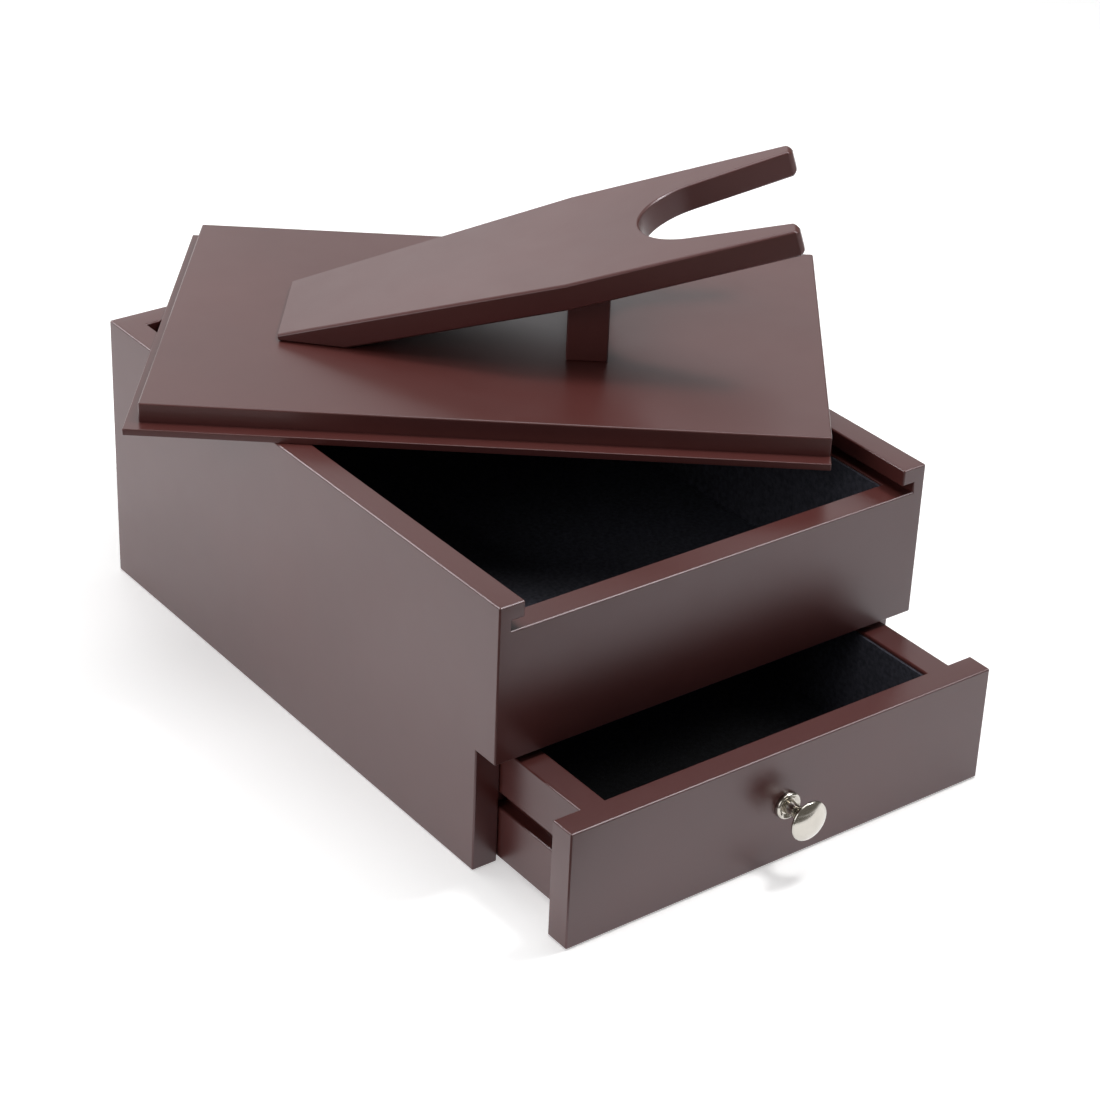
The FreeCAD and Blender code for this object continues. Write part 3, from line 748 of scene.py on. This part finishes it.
def forkOutline():
    flare = math.radians(footrest["notchFlare"])
    radius = footrest["notchRadius"]
    centre = footrest["notchStart"] + radius
    right = []
    for step in range(footrest["notchSteps"] + 1):
        angle = -math.pi / 2 + (math.pi / 2 - flare) * step / footrest["notchSteps"]
        right.append((radius * math.cos(angle), centre + radius * math.sin(angle)))
    tangent = right[-1]
    tip = tangent[0] + (footrest["length"] - tangent[1]) * math.tan(flare)
    half = [(footrest["toeHalfWidth"], 0), (footrest["forkHalfWidth"], footrest["taperLength"]),
            (footrest["forkHalfWidth"], footrest["length"]), (tip, footrest["length"])] + right[::-1]
    return half + [(-x, y) for x, y in reversed(half[:-1])]


def makeFootrest():
    points = forkOutline()
    thick = footrest["thickness"]
    mesh = bmesh.new()
    below = [mesh.verts.new((x, y, 0)) for x, y in points]
    above = [mesh.verts.new((x, y, thick)) for x, y in points]
    mesh.faces.new(above)
    mesh.faces.new(below[::-1])
    for index in range(len(points)):
        after = (index + 1) % len(points)
        mesh.faces.new((below[index], below[after], above[after], above[index]))
    slope = math.radians(footrest["slope"])
    heel = thick - footrest["toeEdge"] / math.cos(slope)
    cut = bmesh.ops.bisect_plane(mesh, geom=mesh.verts[:] + mesh.edges[:] + mesh.faces[:],
                                 plane_co=(0, 0, heel), plane_no=(0, -math.sin(slope), -math.cos(slope)),
                                 clear_outer=True)
    rim = [item for item in cut["geom_cut"] if isinstance(item, bmesh.types.BMEdge)]
    bmesh.ops.edgeloop_fill(mesh, edges=rim)
    mesh.normal_update()
    bmesh.ops.recalc_face_normals(mesh, faces=mesh.faces)

    def reach(edge):
        middle = (edge.verts[0].co + edge.verts[1].co) / 2
        isLevel = abs(edge.verts[0].co.z - edge.verts[1].co.z) < speck
        isOnTip = middle.y > footrest["length"] - speck
        isInNotch = (middle.y > footrest["notchStart"] - hair
                     and abs(middle.x) < footrest["forkHalfWidth"] - slack)
        if middle.y < footrest["toeEnd"] and isLevel:
            width = footrest["toeRound"]
        elif not isLevel and edge.calc_length() < footrest["smallestUpright"]:
            width = 0
        elif isOnTip and isLevel:
            width = footrest["tipRound"] if middle.z > thick / 2 else footrest["tipUnderRound"]
        elif not isLevel and middle.y > footrest["notchStart"]:
            width = footrest["tipUnderRound"]
        elif isInNotch:
            width = footrest["notchRound"]
        else:
            width = footrest["sideRound"]
        return width / footrest["tipRound"]

    board = easeEdges(mesh, footrest["tipRound"], footrest["roundSteps"], reach)
    board.transform(footrestFrame())
    addPiece("footrestBoard", board, "lid", lacquer, ("footrest",))


def makePost():
    post = easeEdges(mergedCopy("footrest_post"), lid["postEase"], lid["postEaseSteps"], longEdge)
    addPiece("footrestPost", post, "lid", lacquer, ("footrest_post",))


makeLidBoard()
makeFootrest()
makePost()
dress("footrest_dowels", dowelWood)
print("lid ready")

# Screws

screws = {
    "lidHead": 7 * mm,
    "lidShank": 3.5 * mm,
    "lidLength": 25 * mm,
    "lidSpread": 50 * mm,
    "lidRows": (82 * mm, -53.5 * mm),  # under the footrest's toe and under the post
    "runnerHead": 6 * mm,
    "runnerShank": 3 * mm,
    "runnerLength": 16 * mm,
    "runnerFromEnd": 30 * mm,
    "sunk": 0.3 * mm,
    "spinSeed": 7,
    "headSides": 48,
    "shankSides": 24,
    "tipWidth": 0.05,  # of the shank's
    "recessLength": 0.56,  # of the head's width, as is the recess's width
    "recessWidth": 0.13,
    "recessDepth": 1.1,  # of the countersink's depth, and half of it is above the head
}


# One countersunk screw with a cross recess, set on every point along the point's axis.
def makeScrewTree():
    tree = bpy.data.node_groups.new("crossScrews", "GeometryNodeTree")
    face = tree.interface
    face.new_socket("Points", in_out="INPUT", socket_type="NodeSocketGeometry")
    for name in ("Head Width", "Shank Width", "Length"):
        face.new_socket(name, in_out="INPUT", socket_type="NodeSocketFloat")
    face.new_socket("Spin Seed", in_out="INPUT", socket_type="NodeSocketInt")
    face.new_socket("Material", in_out="INPUT", socket_type="NodeSocketMaterial")
    face.new_socket("Screws", in_out="OUTPUT", socket_type="NodeSocketGeometry")
    given = tree.nodes.new("NodeGroupInput").outputs
    link = tree.links.new

    def feed(node, values):
        for socket, value in zip(node.inputs, values):
            if isinstance(value, bpy.types.NodeSocket):
                link(value, socket)
            else:
                socket.default_value = value

    def maths(operation, first, second):
        node = tree.nodes.new("ShaderNodeMath")
        node.operation = operation
        feed(node, (first, second))
        return node.outputs["Value"]

    def vector(x, y, z):
        node = tree.nodes.new("ShaderNodeCombineXYZ")
        feed(node, (x, y, z))
        return node.outputs["Vector"]

    def moved(part, height, turn=0.0):
        node = tree.nodes.new("GeometryNodeTransform")
        link(part, node.inputs["Geometry"])
        link(vector(0, 0, height), node.inputs["Translation"])
        node.inputs["Rotation"].default_value = (0, 0, turn)
        return node.outputs["Geometry"]

    def cone(bottom, top, depth, sides):
        node = tree.nodes.new("GeometryNodeMeshCone")
        node.inputs["Vertices"].default_value = sides
        link(bottom, node.inputs["Radius Bottom"])
        link(top, node.inputs["Radius Top"])
        link(depth, node.inputs["Depth"])
        return node.outputs["Mesh"]

    headRadius = maths("MULTIPLY", given["Head Width"], 0.5)
    shankRadius = maths("MULTIPLY", given["Shank Width"], 0.5)
    headDepth = maths("SUBTRACT", headRadius, shankRadius)
    tipRadius = maths("MULTIPLY", shankRadius, screws["tipWidth"])
    tipStart = maths("SUBTRACT", given["Length"], given["Shank Width"])
    head = cone(headRadius, shankRadius, headDepth, screws["headSides"])
    sides = screws["shankSides"]
    shank = moved(cone(shankRadius, shankRadius, maths("SUBTRACT", tipStart, headDepth), sides), headDepth)
    tip = moved(cone(shankRadius, tipRadius, given["Shank Width"], sides), tipStart)

    bar = tree.nodes.new("GeometryNodeMeshCube")
    link(vector(maths("MULTIPLY", given["Head Width"], screws["recessLength"]),
                maths("MULTIPLY", given["Head Width"], screws["recessWidth"]),
                maths("MULTIPLY", headDepth, screws["recessDepth"])), bar.inputs["Size"])
    cut = tree.nodes.new("GeometryNodeMeshBoolean")
    cut.operation = "DIFFERENCE"
    cut.solver = "EXACT"
    link(head, cut.inputs["Mesh 1"])
    for turn in (0.0, math.pi / 2):
        link(moved(bar.outputs["Mesh"], 0.0, turn), cut.inputs["Mesh 2"])
    whole = tree.nodes.new("GeometryNodeJoinGeometry")
    for part in (cut.outputs["Mesh"], shank, tip):
        link(part, whole.inputs["Geometry"])

    axis = tree.nodes.new("GeometryNodeInputNamedAttribute")
    axis.data_type = "FLOAT_VECTOR"
    axis.inputs["Name"].default_value = "axis"
    align = tree.nodes.new("FunctionNodeAlignRotationToVector")
    align.axis = "Z"
    link(axis.outputs["Attribute"], align.inputs["Vector"])
    spin = tree.nodes.new("FunctionNodeRandomValue")
    spin.data_type = "FLOAT"
    spin.inputs["Max"].default_value = math.pi
    link(given["Spin Seed"], spin.inputs["Seed"])
    spun = tree.nodes.new("FunctionNodeRotateRotation")
    spun.rotation_space = "LOCAL"
    link(align.outputs["Rotation"], spun.inputs["Rotation"])
    spinAngle = next(out for out in spin.outputs if out.enabled)
    link(vector(0, 0, spinAngle), spun.inputs["Rotate By"])
    onPoints = tree.nodes.new("GeometryNodeInstanceOnPoints")
    link(given["Points"], onPoints.inputs["Points"])
    link(whole.outputs["Geometry"], onPoints.inputs["Instance"])
    link(spun.outputs["Rotation"], onPoints.inputs["Rotation"])
    real = tree.nodes.new("GeometryNodeRealizeInstances")
    link(onPoints.outputs["Instances"], real.inputs["Geometry"])
    finish = tree.nodes.new("GeometryNodeSetMaterial")
    link(real.outputs["Geometry"], finish.inputs["Geometry"])
    link(given["Material"], finish.inputs["Material"])
    link(finish.outputs["Geometry"], tree.nodes.new("NodeGroupOutput").inputs["Screws"])
    return tree


# places are pairs of a point and the way that the screw goes in.
def setScrews(tree, name, places, body, node, settings):
    data = bpy.data.meshes.new("places")
    data.from_pydata([place for place, _ in places], [], [])
    axes = data.attributes.new("axis", "FLOAT_VECTOR", "POINT")
    for item, (_, axis) in zip(axes.data, places):
        item.vector = axis
    work = bpy.data.objects.new("work", data)
    bpy.context.scene.collection.objects.link(work)
    modifier = work.modifiers.new("screws", "NODES")
    modifier.node_group = tree
    for socket in tree.interface.items_tree:
        if socket.in_out == "INPUT" and socket.name in settings:
            modifier[socket.identifier] = settings[socket.name]
    bpy.context.view_layer.update()
    made = bpy.data.meshes.new_from_object(work.evaluated_get(bpy.context.evaluated_depsgraph_get()))
    bpy.data.objects.remove(work)
    addPiece(name, made, body, steel, (node,))


def makeScrews():
    tree = makeScrewTree()
    frameOfLid = lidFrame()
    up = frameOfLid.to_3x3() @ Vector((0, 0, 1))
    places = [(frameOfLid @ Vector((side * screws["lidSpread"] / 2, row, screws["sunk"])), up)
              for row in screws["lidRows"] for side in (-1, 1)]
    setScrews(tree, "lidScrews", places, "lid", "lid_screws",
              {"Head Width": screws["lidHead"], "Shank Width": screws["lidShank"],
               "Length": screws["lidLength"], "Spin Seed": screws["spinSeed"], "Material": steel})
    places = []
    for side, node in ((-1, "left_runner"), (1, "right_runner")):
        low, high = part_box(node)
        inside = low.x if side > 0 else high.x
        rows = (low.y + screws["runnerFromEnd"], (low.y + high.y) / 2, high.y - screws["runnerFromEnd"])
        for row in rows:
            places.append((Vector((inside + side * screws["sunk"], row, (low.z + high.z) / 2)),
                           Vector((side, 0, 0))))
    setScrews(tree, "runnerScrews", places, "case", "runner_screws",
              {"Head Width": screws["runnerHead"], "Shank Width": screws["runnerShank"],
               "Length": screws["runnerLength"], "Spin Seed": screws["spinSeed"] + 1, "Material": steel})


makeScrews()
print("screws ready")

# Floor and light

light = {
    "floorReach": 6,  # m, each way from the middle
    "floorShade": (0.92, 0.92, 0.92),
    # added only for the eye and for reflections, so that the paper reads white
    "floorSeen": 0.44,
    "floorMirrored": 0.70,
    "worldFill": 0.05,
    "lamps": (
        # name, place, aimed at, width, height, watts, whether it lights or only glints
        ("key", (0.62, -0.5, 1.65), (0, -0.3, 0.1), 0.28, 0.28, 12, True),
        ("overhead", (0.0, -0.2, 1.75), (0, -0.2, 0.1), 1.1, 1.1, 12.5, True),
        ("overBack", (0.1, 0.9, 1.6), (0, -0.2, 0.1), 0.9, 0.9, 6, True),
        ("left", (-2.3, -0.4, 1.1), (0, -0.2, 0.1), 1.4, 1.4, 15.5, True),
        ("backLeft", (-1.3, 1.8, 1.45), (0, -0.2, 0.1), 0.8, 0.8, 6, True),
        ("back", (0.3, 2.4, 1.0), (0, -0.2, 0.1), 1.8, 0.8, 2.5, True),
        ("frontGlint", (0.95, -1.2, 1.5), (0, -0.3, 0.1), 0.7, 0.7, 20, False),
        ("sideGlint", (-1.0, 1.3, 1.3), (0, -0.2, 0.1), 0.7, 0.7, 18, False),
        ("topSheen", (1.9, 2.4, 1.95), (0, -0.2, 0.15), 2.4, 2.4, 5.5, False),
    ),
    "cardShade": (0.02, 0.02, 0.02),
    "cardGlowShade": (1, 0.93, 0.82),
    "cardGlow": 0.2,
    "cards": (
        # dark cards seen only in reflections: middle, width, height or depth, turn, tilt
        ((0, -3.4, 1.15), 9.0, 2.3, 0, 90),
        ((3.6, -0.4, 1.15), 6.0, 2.3, 90, 90),
        ((-1.2, -0.1, 2.3), 6.6, 6.6, 0, 0),
        ((-0.70, -1.04, 0.002), 1.7, 1.6, -38.5, 0),
    ),
}


# Strength for what the eye sees and for what reflections see, and none for the light that falls on things.
def seenStrength(tree, seen, mirrored):
    rays = tree.nodes.new("ShaderNodeLightPath")
    total = None
    for name, strength in (("Is Camera Ray", seen), ("Is Glossy Ray", mirrored),
                           ("Is Transmission Ray", mirrored)):
        share = tree.nodes.new("ShaderNodeMath")
        share.operation = "MULTIPLY"
        share.inputs[1].default_value = strength
        tree.links.new(rays.outputs[name], share.inputs[0])
        if total:
            larger = tree.nodes.new("ShaderNodeMath")
            larger.operation = "MAXIMUM"
            tree.links.new(total, larger.inputs[0])
            tree.links.new(share.outputs["Value"], larger.inputs[1])
            total = larger.outputs["Value"]
        else:
            total = share.outputs["Value"]
    return total


# Matt paper that glows in the given shade.
def makePaper(name, shade, glowShade):
    material, tree, shader, _ = newMaterial(name)
    shader.inputs["Base Color"].default_value = (*shade, 1)
    shader.inputs["Roughness"].default_value = 1
    shader.inputs["Specular IOR Level"].default_value = 0
    shader.inputs["Emission Color"].default_value = (*glowShade, 1)
    return material, tree, shader


def makeFloor():
    mesh = bmesh.new()
    bmesh.ops.create_grid(mesh, x_segments=1, y_segments=1, size=light["floorReach"])
    floor = bpy.data.objects.new("floor", meshOf(mesh))
    bpy.context.scene.collection.objects.link(floor)
    material, tree, shader = makePaper("floorPaper", light["floorShade"], (1, 1, 1))
    tree.links.new(seenStrength(tree, light["floorSeen"], light["floorMirrored"]),
                   shader.inputs["Emission Strength"])
    floor.data.materials.append(material)


def makeCards():
    material, _, shader = makePaper("cardPaper", light["cardShade"], light["cardGlowShade"])
    shader.inputs["Emission Strength"].default_value = light["cardGlow"]
    for index, (middle, wide, tall, turn, tilt) in enumerate(light["cards"]):
        mesh = bmesh.new()
        bmesh.ops.create_grid(mesh, x_segments=1, y_segments=1, size=0.5)
        mesh.transform(Matrix.Translation(middle) @ Matrix.Rotation(math.radians(turn), 4, "Z")
                       @ Matrix.Rotation(math.radians(tilt), 4, "X") @ Matrix.Diagonal((wide, tall, 1, 1)))
        card = bpy.data.objects.new(f"darkCard{index + 1}", meshOf(mesh))
        bpy.context.scene.collection.objects.link(card)
        card.data.materials.append(material)
        card.visible_camera = False
        card.visible_diffuse = False
        card.visible_shadow = False


def makeLamps():
    for name, place, target, width, height, watts, lights in light["lamps"]:
        data = bpy.data.lights.new(name, "AREA")
        data.shape = "RECTANGLE"
        data.size = width
        data.size_y = height
        data.energy = watts
        lamp = bpy.data.objects.new(name, data)
        bpy.context.scene.collection.objects.link(lamp)
        lamp.location = place
        lamp.visible_diffuse = lights
        lamp.rotation_mode = "QUATERNION"
        lamp.rotation_quaternion = (Vector(target) - Vector(place)).to_track_quat("-Z", "Y")


def makeWorld():
    world = bpy.data.worlds.new("studio")
    bpy.context.scene.world = world
    world.use_nodes = True
    tree = world.node_tree
    fill = tree.nodes["Background"]
    fill.inputs["Color"].default_value = (1, 1, 1, 1)
    fill.inputs["Strength"].default_value = light["worldFill"]
    white = tree.nodes.new("ShaderNodeBackground")
    mix = tree.nodes.new("ShaderNodeMixShader")
    tree.links.new(seenStrength(tree, 1.0, 1.0), mix.inputs["Fac"])
    tree.links.new(fill.outputs["Background"], mix.inputs[1])
    tree.links.new(white.outputs["Background"], mix.inputs[2])
    tree.links.new(mix.outputs["Shader"], tree.nodes["World Output"].inputs["Surface"])


makeFloor()
makeCards()
makeLamps()
makeWorld()
bpy.context.scene.view_settings.view_transform = "Standard"
print("floor and light ready")
